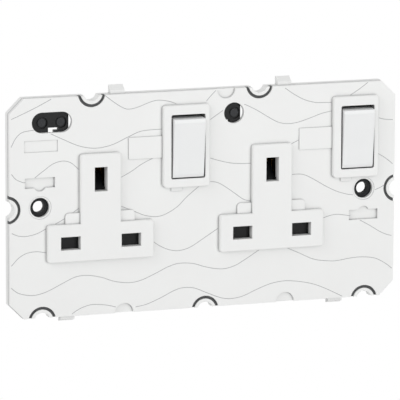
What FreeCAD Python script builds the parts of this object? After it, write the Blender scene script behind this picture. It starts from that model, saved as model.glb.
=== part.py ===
import FreeCAD, Part
import math
import os
import Sketcher
from types import SimpleNamespace
from FreeCAD import Placement, Rotation, Vector

# Two-gang switched socket to BS 1363, without the clip-on cover that hides its moulding.
# Origin: middle of the line between the two fixing holes, on the wall plane.
# +X is right and +Z up as seen from the room, and the face looks along -Y.
# "front" is a distance in front of the wall plane, so a point at front 4 has Y = -4.

sizes = {
    # front moulding
    "plate_width": 143.4,
    "plate_height": 77.9,
    "plate_across": 0.3,
    "plate_up": -0.35,
    "corner_cut": 5.2,
    "plate_depth": 4.3,
    "plate_wall": 1.7,
    "skirt_wall": 1.6,
    "skirt_step": 0.15,
    "fit_gap": 0.15,
    # fixing holes at the two-gang box centres
    "fixing_margin": 11.4,
    "fixing_bore": 4.2,
    "head_hole": 7.0,
    "head_bevel": 0.65,
    "bevel_depth": 0.25,
    # half-round notches along the edges, with a dark half ring seated in each
    "notch_out": 1.0,
    "notch_bore": 2.9,
    "groove_inner": 4.0,
    "groove_outer": 5.05,
    "groove_depth": 2.2,
    "ring_sink": 0.9,
    "ring_gap": 0.02,
    "bay_wall": 1.2,
    "low_row_left": 11.8,
    "low_row_right": 11.15,
    "high_notch_left": 30.0,
    "high_notch_right": 51.4,
    "high_recess": 8.15,
    "scoop_radius": 3.4,
    "scoop_depth": 1.0,
    # lugs on the rim that the cover snaps over
    "high_lug_left": 39.9,
    "low_lug_left": 21.5,
    "high_lug_pitch": 62.0,
    "low_lug_pitch": 100.3,
    "lug_width": 5.2,
    "high_lug_rise": 2.9,
    "low_lug_rise": 2.2,
    "lug_face": 1.3,
    "lug_lead": 2.2,
    # the two outlets
    "outlet_pitch": 63.6,
    "socket_across": -38.6,
    "pin_row_up": -12.95,
    "earth_rise": 22.2,
    "pin_spread": 22.2,
    "slot_width": 7.2,
    "slot_height": 4.7,
    "earth_slot_width": 4.7,
    "earth_slot_height": 8.6,
    "boss_rise": 2.0,
    "boss_bar_half": 19.45,
    "boss_below_row": 6.65,
    "boss_above_row": 6.7,
    "boss_stem_half": 7.4,
    "boss_above_earth": 9.05,
    "boss_corner": 1.0,
    "boss_edge": 0.3,
    "step_half": 12.7,
    "step_above_row": 10.45,
    "step_rise": 0.8,
    "step_corner": 1.3,
    # switch openings and their surrounds
    "switch_across": -6.475,
    "switch_up": 19.12,
    "opening_width": 12.6,
    "opening_height": 22.85,
    "frame_left": 2.85,
    "frame_right": 1.7,
    "frame_above": 3.35,
    "frame_below": 3.1,
    "frame_low_corner": 1.6,
    "shelf_length": 12.4,
    "shelf_height": 7.7,
    "shelf_up": 19.25,
    "shelf_rise": 0.45,
    "shelf_bevel": 0.5,
    "tongue_width": 4.0,
    "tongue_height": 1.4,
    # shallow panels beside the fixing holes
    "panel_width": 10.9,
    "panel_height": 3.6,
    "panel_depth": 1.0,
    "panel_up": 8.8,
    "right_panel_up": -9.4,
    "panel_nose": 2.3,
    "nose_centre": 0.75,
    "label_width": 12.1,
    "label_height": 4.1,
    "label_inset": 11.5,
    "label_up": 21.7,
    "label_depth": 0.3,
    # indicator windows
    "window_drop": 8.7,
    "oval_inset": 15.5,
    "oval_half": 3.65,
    "oval_reach": 3.65,
    "round_across": 11.1,
    "round_radius": 3.7,
    "insert_depth": 2.0,
    "twin_insert_inset": 6.8,
    "twin_insert_width": 15.2,
    "single_insert_left": 6.3,
    "single_insert_right": 14.0,
    "insert_half_height": 4.7,
    "insert_corner": 1.2,
    "view_gap": 1.9,
    "view_notch_inset": 14.6,
    "view_notch_width": 3.8,
    "view_notch_height": 1.7,
    "nib_start": 2.2,
    "nib_height": 0.7,
    "corner_view_right": 10.0,
    "corner_view_drop": 2.6,
    "lamp_spread": 6.9,
    "twin_lamp_inset": 15.75,
    "single_lamp_across": 11.8,
    "lamp_drop": 0.3,
    "lamp_radius": 1.5,
    "lamp_seat": 2.1,
    "lamp_seat_depth": 0.7,
    "lamp_height": 0.45,
    # contact carrier and rear cover
    "flange_front": 2.5,
    "carrier_back": 12.8,
    "body_left": -54.5,
    "body_right": 51.0,
    "body_bottom": -27.5,
    "body_top": 21.5,
    "lug_bay_half": 7.8,
    "lug_bay_depth": 4.3,
    "tower_top": 33.0,
    "tower_side": 9.0,
    "inner_tower_side": 12.4,
    "right_tower_foot": 7.5,
    "cover_back": 21.5,
    "cover_wall": 1.5,
    "tower_cover": 2.2,
    "cover_edge": 1.0,
    # screws that hold the three mouldings together
    "post_radius": 2.4,
    "post_length": 6.6,
    "screw_radius": 1.45,
    "screw_head": 2.9,
    "screw_head_height": 1.8,
    "screw_length": 21.0,
    "pilot_run": 0.05,
    "pilot_end": 1.0,
    "head_sink": 0.3,
    "left_screw_across": -51.3,
    "high_left_screw_up": 13.5,
    "low_screw_up": -24.6,
    "right_screw_across": 47.5,
    "high_right_screw_across": 42.2,
    "high_right_screw_up": 4.0,
    # rockers
    "rocker_gap": 0.55,
    "rocker_half_height": 10.5,
    "rocker_face": 7.3,
    "rocker_bevel": 1.2,
    "rocker_bevel_drop": 0.35,
    "rocker_skin": 1.5,
    "rocker_wall": 1.3,
    "rocker_end_front": 2.0,
    "rocker_toe": 6.0,
    "pivot_front": 1.2,
    "pivot_radius": 1.2,
    "pivot_reach": 1.5,
    "pivot_run": 0.05,
    "rocker_tilt": 5.36,
    "guide_radius": 2.6,
    "guide_back": 4.5,
    "plunger_radius": 1.55,
    "plunger_run": 0.1,
    "plunger_nose": 0.8,
    "plunger_start": 0.5,
    "pocket_half": 6.3,
    "shaft_reach": 9.6,
    # see-saw contacts
    "blade_pivot_back": 9.6,
    "blade_thickness": 0.9,
    "blade_half_width": 2.1,
    "blade_above": 8.9,
    "blade_below": 7.6,
    "blade_tilt": 8.0,
    "blade_rib": 0.55,
    "rib_run": 0.05,
    "tip_run": 0.05,
    "button_up": 7.4,
    "button_radius": 1.3,
    "button_height": 0.7,
    "rivet_radius": 1.5,
    "rivet_height": 0.42,
    "cradle_half": 1.0,
    "cradle_half_width": 1.6,
    "cradle_drop": 0.25,
    # brass strips and pin clips
    "strip_back": 12.0,
    "strip_thickness": 0.8,
    "strip_gap": 0.15,
    "strip_width": 2.2,
    "clip_half": 3.2,
    "clip_pinch": 2.1,
    "clip_mouth": 2.7,
    "clip_open": 2.4,
    "clip_front": 2.5,
    "clip_throat": 4.6,
    "clip_width": 5.2,
    "clip_reach_up": 2.6,
    "earth_clip_back": 17.6,
    "tab_reach": 1.0,
    "earth_clip_low": 4.0,
    "earth_clip_high": 4.05,
    "riser_half": 2.0,
    "riser_above": 2.4,
    "neutral_strip_up": -18.6,
    "line_strip_up": 18.7,
    "earth_strip_up": 15.1,
    "hook_up": 26.7,
    "hook_half": 1.7,
    "left_leg_offset": 9.3,
    "right_leg_offset": 6.9,
    "leg_half": 1.3,
    "right_riser_across": 46.7,
    "joggle_start": -12.6,
    "joggle_length": 2.7,
    "joggle_depth": 2.6,
    # terminals
    "terminal_back": 20.0,
    "terminal_width": 7.6,
    "terminal_height": 7.6,
    "wire_bore": 2.3,
    "wire_back": 15.6,
    "wire_gate_half": 3.5,
    "wire_gate_depth": 6.4,
    "tapped_radius": 1.75,
    "clamp_run": 0.05,
    "clamp_head": 2.7,
    "clamp_head_height": 1.2,
    "clamp_length": 2.0,
    "clamp_access": 3.1,
    "neutral_terminal_across": -12.0,
    "line_terminal_across": 35.0,
    "left_earth_across": -27.3,
    "right_earth_across": -18.2,
    "screw_slot": 0.7,
    "screw_slot_depth": 0.7,
    # shutters
    "shutter_front": 3.2,
    "shutter_thickness": 1.5,
    "shutter_run": 0.05,
    "shutter_half": 15.6,
    "shutter_margin": 0.55,
    "shutter_travel": 5.3,
    "shutter_side": 0.6,
    "shutter_stem_half": 3.4,
    "shutter_corner": 1.0,
    "ramp_half": 2.1,
    "ramp_back": 2.2,
    "ramp_side": 0.4,
    "ramp_foot": 2.2,
    "pin_height": 8.0,
    "lug_half": 1.9,
    "lug_back": 2.2,
    "lug_depth": 2.0,
    "lug_drop": 0.55,
    # coil springs
    "spring_wire": 0.36,
    "spring_radius": 1.4,
    "spring_back": 0.5,
    "spring_end": -24.2,
    "spring_turns": 5,
    "turn_steps": 8,
    "plunger_spring_wire": 0.34,
    "plunger_spring_radius": 1.15,
    "plunger_spring_turns": 5,
    "seat_touch": 0.02,
    "spring_seat": 0.05,
}

doc = FreeCAD.newDocument("TwinSocket")
sheet = doc.addObject("Spreadsheet::Sheet", "Sizes")
for row, (alias, number) in enumerate(sizes.items(), start=1):
    sheet.set("A%d" % row, alias)
    sheet.set("B%d" % row, str(number))
    sheet.setAlias("B%d" % row, alias)
doc.recompute()


class Size:
    """A length together with the formula that ties it to the sheet, or None where a sketch finds it."""

    def __init__(self, value, formula):
        self.value = value
        self.formula = formula

    def __add__(self, other):
        other = size_of(other)
        return Size(self.value + other.value, "(%s + %s)" % (self.formula, other.formula))

    def __sub__(self, other):
        other = size_of(other)
        return Size(self.value - other.value, "(%s - %s)" % (self.formula, other.formula))

    def __mul__(self, other):
        other = size_of(other)
        return Size(self.value * other.value, "(%s * %s)" % (self.formula, other.formula))

    def __truediv__(self, other):
        other = size_of(other)
        return Size(self.value / other.value, "(%s / %s)" % (self.formula, other.formula))

    def __neg__(self):
        return Size(-self.value, "(-1 * %s)" % self.formula)

    __radd__ = __add__


def size_of(number):
    if isinstance(number, Size):
        return number
    return Size(float(number), "(%s)" % number)


def root(number):
    return Size(math.sqrt(number.value), "sqrt(%s)" % number.formula)


def found(value):
    """A coordinate that the sketch works out from the arc beside it."""
    return Size(value, None)


s = SimpleNamespace(**{alias: Size(float(sheet.get(alias)), "Sizes." + alias) for alias in sizes})
zero = size_of(0)
units = (("left", zero), ("right", s.outlet_pitch))
pieces = []


def arc(across, up, radius, turn):
    """Turn 1 runs counter-clockwise from this corner to the next, -1 clockwise."""
    return SimpleNamespace(across=size_of(across), up=size_of(up), radius=size_of(radius), turn=turn)


def circle(across, up, radius):
    return SimpleNamespace(across=size_of(across), up=size_of(up), radius=size_of(radius))


def box(left, bottom, right, top):
    return [(left, bottom), (right, bottom), (right, top), (left, top)]


def centred(across, up, width, height):
    half_width = size_of(width) / 2
    half_height = size_of(height) / 2
    return box(across - half_width, up - half_height, across + half_width, up + half_height)


def hold(geometry, position, across, up):
    """Ties a point of the sketch to its two distances from the sketch's origin."""
    ties = []
    for kind, size in (("DistanceX", size_of(across)), ("DistanceY", size_of(up))):
        if size.formula is not None:
            ties.append((Sketcher.Constraint(kind, -1, 1, geometry, position, size.value), size.formula))
    return ties


def hold_radius(geometry, radius):
    return [(Sketcher.Constraint("Radius", geometry, radius.value), radius.formula)]


def draw_circle(sketch, shape):
    centre = Vector(shape.across.value, shape.up.value, 0)
    geometry = sketch.addGeometry(Part.Circle(centre, Vector(0, 0, 1), shape.radius.value), False)
    return hold(geometry, 3, shape.across, shape.up) + hold_radius(geometry, shape.radius)


def draw_outline(sketch, corners):
    """Closed outline of lines, and of an arc after each corner that carries one."""
    ties = []
    points = [Vector(size_of(corner[0]).value, size_of(corner[1]).value, 0) for corner in corners]
    ends = []
    for index, corner in enumerate(corners):
        start = points[index]
        end = points[(index + 1) % len(points)]
        if len(corner) == 2:
            geometry = sketch.addGeometry(Part.LineSegment(start, end), False)
            ends.append((geometry, 1, 2))
            continue
        bend = corner[2]
        centre = Vector(bend.across.value, bend.up.value, 0)
        angles = [math.atan2(point.y - centre.y, point.x - centre.x) for point in (start, end)]
        if bend.turn < 0:
            angles.reverse()
        if angles[1] <= angles[0]:
            angles[1] += 2 * math.pi
        whole = Part.Circle(centre, Vector(0, 0, 1), bend.radius.value)
        geometry = sketch.addGeometry(Part.ArcOfCircle(whole, angles[0], angles[1]), False)
        ends.append((geometry, 1, 2) if bend.turn > 0 else (geometry, 2, 1))
        ties += hold(geometry, 3, bend.across, bend.up) + hold_radius(geometry, bend.radius)
    for index, (geometry, start, end) in enumerate(ends):
        following = ends[(index + 1) % len(ends)]
        ties.append((Sketcher.Constraint("Coincident", geometry, end, following[0], following[1]), None))
        ties += hold(geometry, start, corners[index][0], corners[index][1])
    return ties


def new_sketch(body, name, plane, level, shapes):
    sketch = body.newObject("Sketcher::SketchObject", name + "_sketch")
    support = [feature for feature in body.Origin.OriginFeatures if feature.Role == plane + "_Plane"]
    sketch.AttachmentSupport = [(support[0], "")]
    sketch.MapMode = "FlatFace"
    sketch.setExpression("AttachmentOffset.Base.z", size_of(level).formula)
    ties = []
    for shape in shapes:
        ties += draw_outline(sketch, shape) if isinstance(shape, list) else draw_circle(sketch, shape)
    sketch.addConstraint([constraint for constraint, _ in ties])
    for index, (_, formula) in enumerate(ties):
        if formula is not None:
            sketch.setExpression("Constraints[%d]" % index, formula)
    return sketch


def pad(body, name, plane, start, end, *shapes):
    """Adds material between two levels of a plane. XZ levels are fronts, YZ levels X and XY levels Z."""
    feature = body.newObject("PartDesign::Pad", name)
    feature.Refine = body.Tip is None
    feature.Profile = new_sketch(body, name, plane, start, shapes)
    feature.setExpression("Length", (size_of(end) - start).formula)


def pocket(body, name, plane, start, end, *shapes):
    """Takes material away between two levels of a plane."""
    feature = body.newObject("PartDesign::Pocket", name)
    feature.Refine = False
    feature.Profile = new_sketch(body, name, plane, end, shapes)
    feature.setExpression("Length", (size_of(end) - start).formula)


def round_edges(body, name, radius, chosen):
    doc.recompute()
    base = body.Tip
    names = ["Edge%d" % (index + 1) for index, edge in enumerate(base.Shape.Edges) if chosen(edge)]
    feature = body.newObject("PartDesign::Fillet", name)
    feature.Base = (base, names)
    feature.setExpression("Radius", size_of(radius).formula)


def bevel_edges(body, name, width, chosen):
    doc.recompute()
    base = body.Tip
    names = ["Edge%d" % (index + 1) for index, edge in enumerate(base.Shape.Edges) if chosen(edge)]
    feature = body.newObject("PartDesign::Chamfer", name)
    feature.Base = (base, names)
    feature.setExpression("Size", size_of(width).formula)


def along_depth(edge, low_front, high_front, places):
    """True for an edge along Y between two fronts that stands at one of the (X, Z) places."""
    box_around = edge.BoundBox
    if box_around.XLength > 0.01 or box_around.ZLength > 0.01:
        return False
    if -box_around.YMax < low_front.value - 0.01 or -box_around.YMin > high_front.value + 0.01:
        return False
    return any(
        abs(box_around.XMin - size_of(across).value) < 0.01 and abs(box_around.ZMin - size_of(up).value) < 0.01
        for across, up in places
    )


def on_front(edge, front):
    box_around = edge.BoundBox
    return box_around.YLength < 0.01 and abs(-box_around.YMin - front.value) < 0.01


def new_body(label):
    body = doc.addObject("PartDesign::Body", label)
    body.Label = label
    pieces.append(body)
    return body


def new_group(label, shapes):
    """One node that holds several like solids, each already in its place."""
    group = doc.addObject("Part::Feature", label)
    group.Label = label
    group.Shape = Part.makeCompound(shapes)
    pieces.append(group)


# Levels that several pieces share
face = s.plate_depth
wall_back = face - s.plate_wall
boss_front = face + s.boss_rise
groove_floor = face - s.groove_depth
recess_front = s.shutter_front + s.shutter_run
shutter_back = s.shutter_front - s.shutter_thickness
recess_back = shutter_back - s.shutter_run * 2
strip_front = -s.strip_back
strip_rear = -(s.strip_back + s.strip_thickness)
carrier_rear = -s.carrier_back
cover_rear = -s.cover_back
terminal_rear = -s.terminal_back


# The plate's edges, and what is placed from them
plate_left = s.plate_across - s.plate_width / 2
plate_right = s.plate_across + s.plate_width / 2
plate_top = s.plate_up + s.plate_height / 2
plate_bottom = s.plate_up - s.plate_height / 2
fixing_reach = s.plate_width / 2 - s.fixing_margin
fixings = [-fixing_reach, fixing_reach]
row_start = plate_left + s.low_row_left
row_pitch = (s.plate_width - s.low_row_left - s.low_row_right) / 4
low_notches = [row_start + row_pitch * step for step in (0, 2, 4)]
low_scoops = [row_start + row_pitch * step for step in (1, 3)]
high_notches = [plate_left + s.high_notch_left, plate_right - s.high_notch_right]
window_up = plate_top - s.window_drop
lamp_up = window_up - s.lamp_drop
oval_across = plate_left + s.oval_inset
twin_insert_left = plate_left + s.twin_insert_inset
twin_insert_right = twin_insert_left + s.twin_insert_width
housing_screws = [
    (s.left_screw_across, s.high_left_screw_up),
    (s.left_screw_across, s.low_screw_up),
    (s.right_screw_across, s.low_screw_up),
    (s.high_right_screw_across, s.high_right_screw_up),
]
terminals = [
    ("line_terminal", s.line_terminal_across, s.line_strip_up),
    ("neutral_terminal", s.neutral_terminal_across, s.neutral_strip_up),
    ("left_earth_terminal", s.left_earth_across, s.earth_strip_up),
    ("right_earth_terminal", s.right_earth_across, s.earth_strip_up),
]


def notch_centres():
    """Centres of the seven edge notches, each with the turn that brings the low edge's ring to it."""
    centres = [(across, plate_bottom - s.notch_out, 0) for across in low_notches]
    centres += [(across, plate_top + s.notch_out, 180) for across in high_notches]
    centres.append((plate_right + s.notch_out, s.plate_up, 270))
    centres.append((plate_left - s.notch_out, s.plate_up, 90))
    return centres


def octagon(grow):
    """The plate's outline with its corners cut, moved out by grow."""
    left, right = plate_left - grow, plate_right + grow
    bottom, top = plate_bottom - grow, plate_top + grow
    cut = s.corner_cut + grow * (2 - math.sqrt(2))
    return [
        (left + cut, bottom),
        (right - cut, bottom),
        (right, bottom + cut),
        (right, top - cut),
        (right - cut, top),
        (left + cut, top),
        (left, top - cut),
        (left, bottom + cut),
    ]


def bayed_outline(inset, bay):
    """The plate's outline moved in, with a round bay about each edge notch."""
    corners = octagon(-inset)
    left, right = plate_left + inset, plate_right - inset
    bottom, top = plate_bottom + inset, plate_top - inset
    reach = math.sqrt(bay.value ** 2 - (s.notch_out.value + inset.value) ** 2)
    up = s.plate_up
    outline = [corners[0]]
    for across in low_notches:
        outline.append((found(across.value - reach), bottom, arc(across, plate_bottom - s.notch_out, bay, -1)))
        outline.append((found(across.value + reach), bottom))
    corner = corners[1][0]
    if low_notches[-1].value + reach > corner.value:
        lead = low_notches[-1] - corner + s.notch_out + inset
        across = low_notches[-1] + (root(bay * bay * 2 - lead * lead) - lead) / 2
        outline[-1] = (across, found(across.value - corner.value + bottom.value))
        outline.append(corners[2])
    else:
        outline += [corners[1], corners[2]]
    outline.append((right, found(up.value - reach), arc(plate_right + s.notch_out, up, bay, -1)))
    outline.append((right, found(up.value + reach)))
    outline += [corners[3], corners[4]]
    for across in reversed(high_notches):
        outline.append((found(across.value + reach), top, arc(across, plate_top + s.notch_out, bay, -1)))
        outline.append((found(across.value - reach), top))
    outline += [corners[5], corners[6]]
    outline.append((left, found(up.value + reach), arc(plate_left - s.notch_out, up, bay, -1)))
    outline.append((left, found(up.value - reach)))
    return outline + [corners[7]]


def tee(across, bar_half, below, above, stem_half, top):
    """Cross bar over the pin row with a stem up past the earth slot."""
    row = s.pin_row_up
    return [
        (across - bar_half, row - below),
        (across + bar_half, row - below),
        (across + bar_half, row + above),
        (across + stem_half, row + above),
        (across + stem_half, top),
        (across - stem_half, top),
        (across - stem_half, row + above),
        (across - bar_half, row + above),
    ]


def boss_tee(across):
    top = s.pin_row_up + s.earth_rise + s.boss_above_earth
    return tee(across, s.boss_bar_half, s.boss_below_row, s.boss_above_row, s.boss_stem_half, top)


def opening(shift, grow=0):
    width = s.opening_width + size_of(grow) * 2
    height = s.opening_height + size_of(grow) * 2
    return centred(s.switch_across + shift, s.switch_up, width, height)


def surround(shift):
    (left, bottom), _, (right, top), _ = opening(shift)
    return box(left - s.frame_left, bottom - s.frame_below, right + s.frame_right, top + s.frame_above)


def pin_slots(across):
    """Line, neutral and earth slots of one outlet."""
    half = s.pin_spread / 2
    return [
        centred(across + half, s.pin_row_up, s.slot_width, s.slot_height),
        centred(across - half, s.pin_row_up, s.slot_width, s.slot_height),
        centred(across, s.pin_row_up + s.earth_rise, s.earth_slot_width, s.earth_slot_height),
    ]


def shutter_recess(across):
    """Room for the shutter and its travel, down from where it rests."""
    wing = s.slot_height / 2 + s.shutter_margin
    top = s.pin_row_up + s.earth_rise - s.pin_height / 2 + s.shutter_side
    half = s.shutter_half + s.shutter_side
    stem_half = s.shutter_stem_half + s.shutter_side
    below = wing + s.shutter_travel + s.shutter_side
    return tee(across, half, below, wing + s.shutter_side, stem_half, top)


def oval(grow):
    """Stadium outline of the oval window, moved out by grow."""
    radius = s.oval_half + grow
    left = oval_across - s.oval_reach
    right = oval_across + s.oval_reach
    up = window_up
    return [
        (left, found(up.value - radius.value)),
        (right, found(up.value - radius.value), arc(right, up, radius, 1)),
        (right, found(up.value + radius.value)),
        (left, found(up.value + radius.value), arc(left, up, radius, 1)),
    ]


def make_front_plate():
    plate = new_body("front_plate")
    pad(plate, "skirt", "XZ", zero, wall_back, octagon(s.skirt_step))
    pad(plate, "face", "XZ", wall_back, face, octagon(zero))
    bay = s.groove_outer + s.bay_wall
    pocket(plate, "cavity", "XZ", zero, wall_back, bayed_outline(s.skirt_wall, bay))

    sockets = [s.socket_across + shift for _, shift in units]
    steps = [box(across - s.step_half, s.pin_row_up, across + s.step_half, s.pin_row_up + s.step_above_row)
             for across in sockets]
    pad(plate, "steps", "XZ", face, face + s.step_rise, *steps)
    high_corners = [corner for step in steps for corner in step[2:]]
    round_edges(plate, "step_corners", s.step_corner,
                lambda edge: along_depth(edge, face, face + s.step_rise, high_corners))

    frames = [surround(shift) for _, shift in units]
    ledges = []
    for frame in frames:
        left, bottom = frame[0]
        half = s.shelf_height / 2
        ledges.append(box(left - s.shelf_length, s.shelf_up - half, left + 1, s.shelf_up + half))
        tongue = left + s.frame_left + s.shelf_bevel
        ledges.append(box(tongue, bottom - s.tongue_height, tongue + s.tongue_width, bottom + 1))
    pad(plate, "ledges", "XZ", face, face + s.shelf_rise, *ledges)

    bosses = [boss_tee(across) for across in sockets]
    pad(plate, "bosses", "XZ", face, boss_front, *bosses, *frames)
    outer = [boss[index] for boss in bosses for index in (0, 1, 2, 4, 5, 7)]
    outer += [corner for frame in frames for corner in frame[1:]]
    round_edges(plate, "boss_corners", s.boss_corner, lambda edge: along_depth(edge, face, boss_front, outer))
    low_corners = [frame[0] for frame in frames]
    round_edges(plate, "frame_corners", s.frame_low_corner,
                lambda edge: along_depth(edge, face, boss_front, low_corners))
    bevel_edges(plate, "boss_edges", s.boss_edge, lambda edge: on_front(edge, boss_front))

    openings = [opening(shift) for _, shift in units]
    slots = [slot for across in sockets for slot in pin_slots(across)]
    pocket(plate, "slots_and_openings", "XZ", zero, boss_front, *slots, *openings)
    corners = [corner for outline in openings for corner in outline]
    round_edges(plate, "opening_corners", s.boss_edge * 2,
                lambda edge: along_depth(edge, wall_back, boss_front, corners))
    recesses = [shutter_recess(across) for across in sockets]
    pocket(plate, "shutter_recesses", "XZ", wall_back, recess_front, *recesses)

    holes = [circle(across, zero, s.head_hole / 2) for across in fixings]
    pocket(plate, "head_holes", "XZ", wall_back, face, *holes)
    rings = [circle(across, zero, s.head_hole / 2 + s.head_bevel) for across in fixings]
    pocket(plate, "head_hole_rims", "XZ", face - s.bevel_depth, face, *rings)
    round_window = circle(s.round_across, window_up, s.round_radius)
    pocket(plate, "windows", "XZ", wall_back, face, oval(zero), round_window)

    centres = notch_centres()
    grooves = [circle(x, z, radius) for x, z, _ in centres for radius in (s.groove_outer, s.groove_inner)]
    pocket(plate, "ring_grooves", "XZ", groove_floor, face, *grooves)
    pocket(plate, "notches", "XZ", zero, face, *[circle(x, z, s.notch_bore) for x, z, _ in centres])
    scoops = [circle(across, plate_bottom, s.scoop_radius) for across in low_scoops]
    scoops.append(circle(s.high_recess, plate_top, s.scoop_radius))
    pocket(plate, "scoops", "XZ", face - s.scoop_depth, face, *scoops)

    label = centred(plate_left + s.label_inset, s.label_up, s.label_width, s.label_height)
    pocket(plate, "label_panel", "XZ", face - s.label_depth, face, label)
    panels = ((fixings[0], s.panel_up, -1), (fixings[1], s.right_panel_up, 1))
    flats = [centred(across, up, s.panel_width, s.panel_height) for across, up, _ in panels]
    pocket(plate, "panels", "XZ", face - s.panel_depth, face, *flats)
    noses = [circle(across, up + s.nose_centre * way, s.panel_nose) for across, up, way in panels]
    pocket(plate, "panel_noses", "XZ", face - s.panel_depth, face, *noses)

    lugs = (
        ("high_lug", s.high_lug_left, s.high_lug_pitch, plate_top, 1, s.high_lug_rise),
        ("low_lug", s.low_lug_left, s.low_lug_pitch, plate_bottom, -1, s.low_lug_rise),
    )
    for label, first, pitch, rim, way, rise in lugs:
        foot = rim - s.skirt_step * way
        wedge = [
            (-wall_back, foot),
            (-wall_back, rim + s.lug_face * way),
            (-wall_back + s.lug_lead, rim + rise * way),
            (zero, rim + rise * way),
            (zero, foot),
        ]
        half = s.lug_width / 2
        for number, across in enumerate((plate_left + first, plate_left + first + pitch), start=1):
            pad(plate, "%s_%d" % (label, number), "YZ", across - half, across + half, wedge)

    post_end = wall_back - s.post_length
    posts = [circle(x, z, s.post_radius) for x, z in housing_screws]
    pad(plate, "posts", "XZ", post_end, wall_back, *posts)
    pilots = [circle(x, z, s.screw_radius + s.pilot_run) for x, z in housing_screws]
    pocket(plate, "pilots", "XZ", post_end, wall_back - s.pilot_end, *pilots)


def make_cover_clip_rings():
    """Half rings in the edge grooves, cut off flush with the plate's rim."""
    inner = s.groove_inner + s.ring_gap
    outer = s.groove_outer - s.ring_gap
    front = face - s.ring_sink
    rim = s.notch_out
    reach = [math.sqrt(radius.value ** 2 - rim.value ** 2) for radius in (inner, outer)]
    body = doc.addObject("PartDesign::Body", "ring_pattern")
    outline = [
        (found(reach[0]), rim),
        (found(reach[1]), rim, arc(zero, zero, outer, 1)),
        (found(-reach[1]), rim),
        (found(-reach[0]), rim, arc(zero, zero, inner, -1)),
    ]
    pad(body, "ring", "XZ", groove_floor, front, outline)
    doc.recompute()
    rings = []
    for x, z, turn in notch_centres():
        ring = body.Shape.copy()
        ring.Placement = Placement(Vector(x.value, 0, z.value), Rotation(Vector(0, 1, 0), turn))
        rings.append(ring)
    new_group("cover_clip_rings", rings)


def make_indicators():
    back = wall_back - s.insert_depth
    seat = wall_back - s.lamp_seat_depth
    half = s.lamp_spread / 2
    low = window_up - s.insert_half_height
    high = window_up + s.insert_half_height
    twin_middle = plate_left + s.twin_lamp_inset
    twin_lamps = [twin_middle - half, twin_middle + half]
    notch_left = plate_left + s.view_notch_inset
    notch_right = notch_left + s.view_notch_width
    notch_low = window_up - s.oval_half - s.fit_gap
    twin_view = [
        (notch_left, low - 1),
        (notch_left + s.nib_start, low - 1),
        (notch_left + s.nib_start, notch_low + s.nib_height),
        (notch_right, notch_low + s.nib_height),
        (notch_right, notch_low + s.view_notch_height),
        (notch_left, notch_low + s.view_notch_height),
    ]
    single_view = box(s.single_insert_left - 1, low - 1, s.corner_view_right, window_up - s.corner_view_drop)
    single_lamps = [s.single_lamp_across]
    inserts = (
        ("twin_indicator", twin_insert_left, twin_insert_right, twin_lamps, twin_view),
        ("single_indicator", s.single_insert_left, s.single_insert_right, single_lamps, single_view),
    )
    for label, left, right, lamps, view in inserts:
        insert = new_body(label + "_insert")
        outline = box(left, low, right, high)
        pad(insert, label + "_block", "XZ", back, wall_back, outline)
        corners = [outline[0], outline[3]]
        round_edges(insert, label + "_corners", s.insert_corner,
                    lambda edge: along_depth(edge, back, wall_back, corners))
        seats = [circle(x, lamp_up, s.lamp_seat) for x in lamps]
        pocket(insert, label + "_seats", "XZ", seat, wall_back, *seats)
        pocket(insert, label + "_view", "XZ", back, wall_back, view)
        lamp = new_body(label + ("_lamps" if len(lamps) > 1 else "_lamp"))
        discs = [circle(x, lamp_up, s.lamp_radius) for x in lamps]
        pad(lamp, label + "_discs", "XZ", seat, seat + s.lamp_height, *discs)


def lug_bay(inset):
    """Bay in the left side of the housing, clear of the wall box's lug behind the fixing hole."""
    left = s.body_left + inset
    floor = left + s.lug_bay_depth
    half = s.lug_bay_half + inset
    return [(left, half), (floor, half), (floor, -half), (left, -half)]


def block_outline(inset):
    """Outline of the housing's main block, moved in by inset."""
    low, high = s.body_bottom + inset, s.body_top - inset
    return box(s.body_left + inset, low, s.body_right - inset, high) + lug_bay(inset)


def body_outline(grow=0):
    """Outline of the housing behind the wall plane: a block with a tower behind each switch."""
    grow = size_of(grow)
    left_tower_left = s.switch_across - s.tower_side
    left_tower_right = s.switch_across + s.inner_tower_side
    right_tower_left = s.switch_across + s.outlet_pitch - s.tower_side
    right_tower_right = s.switch_across + s.outlet_pitch + s.tower_side - 1
    return [
        (s.body_left - grow, s.body_bottom - grow),
        (s.body_right + grow, s.body_bottom - grow),
        (s.body_right + grow, s.right_tower_foot - grow),
        (right_tower_right + grow, s.right_tower_foot - grow),
        (right_tower_right + grow, s.tower_top + grow),
        (right_tower_left - grow, s.tower_top + grow),
        (right_tower_left - grow, s.body_top + grow),
        (left_tower_right + grow, s.body_top + grow),
        (left_tower_right + grow, s.tower_top + grow),
        (left_tower_left - grow, s.tower_top + grow),
        (left_tower_left - grow, s.body_top + grow),
        (s.body_left - grow, s.body_top + grow),
        *lug_bay(-grow),
    ]


def line_contact_outline(side, shift, grow=0):
    """Flat of a switched line contact: clip web, arm and the riser behind the switch."""
    grow = size_of(grow)
    clip = s.socket_across + shift + s.pin_spread / 2
    switch = s.switch_across + shift
    left = clip - s.clip_half - grow
    bottom = s.pin_row_up - s.clip_reach_up - grow
    shoulder = s.pin_row_up + s.clip_reach_up + grow
    top = s.switch_up + s.riser_above + grow
    half = s.riser_half + grow
    if side == "left":
        return [
            (left, bottom),
            (switch + half, bottom),
            (switch + half, top),
            (switch - half, top),
            (switch - half, shoulder),
            (left, shoulder),
        ]
    riser = s.right_riser_across
    knee = s.right_tower_foot + s.cover_wall
    return [
        (left, bottom),
        (riser + s.leg_half + grow, bottom),
        (riser + s.leg_half + grow, knee - s.leg_half / 2 - grow),
        (switch + half, knee - s.leg_half / 2 - grow),
        (switch + half, top),
        (switch - half, top),
        (switch - half, knee + s.leg_half + grow),
        (riser - s.leg_half - grow, knee + s.leg_half + grow),
        (riser - s.leg_half - grow, shoulder),
        (left, shoulder),
    ]


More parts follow.
